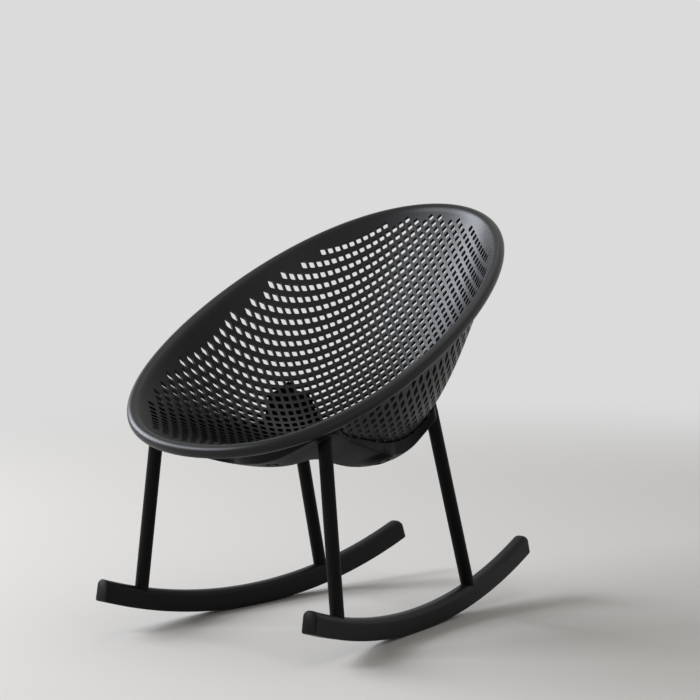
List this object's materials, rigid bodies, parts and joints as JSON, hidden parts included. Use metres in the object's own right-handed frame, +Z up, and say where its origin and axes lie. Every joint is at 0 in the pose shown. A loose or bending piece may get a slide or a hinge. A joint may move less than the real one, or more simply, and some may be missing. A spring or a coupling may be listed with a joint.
{
  "type": "rocking chair",
  "caption": "Rocking chair with a perforated moulded tub seat and round rolled rim, held in a moulded cradle on slim round legs that stand in toed-in curved rockers.",
  "frame": {"origin": "on the floor in the mirror plane, half way between the places where the two rockers touch the floor", "axes": "+Z up, the sitter faces -Y, +X to the sitter's left"},
  "size_m": [0.6412, 0.8906, 0.7995],
  "materials": {
    "seat_plastic": "black moulded polypropylene, satin, fine grain",
    "frame_plastic": "black moulded glass-filled plastic, satin, fine grain",
    "leg_plastic": "black moulded glass-filled plastic, satin, fine grain",
    "rocker_plastic": "black moulded glass-filled plastic, satin, fine grain",
    "steel": "zinc-plated screws, bolts and washers",
    "brass": "plain threaded inserts"
  },
  "bodies": {
    "root": {"seat_shell": "seat_plastic", "base_frame": "frame_plastic", "leg_front_left": "leg_plastic", "leg_front_right": "leg_plastic", "leg_rear_left": "leg_plastic", "leg_rear_right": "leg_plastic", "rocker_left": "rocker_plastic", "rocker_right": "rocker_plastic", "leg_inserts": "brass", "rocker_washers": "steel", "rocker_bolts": "steel", "spigot_screws": "steel", "seat_inserts": "brass", "seat_washers": "steel", "seat_screws": "steel"}
  },
  "joints": []
}
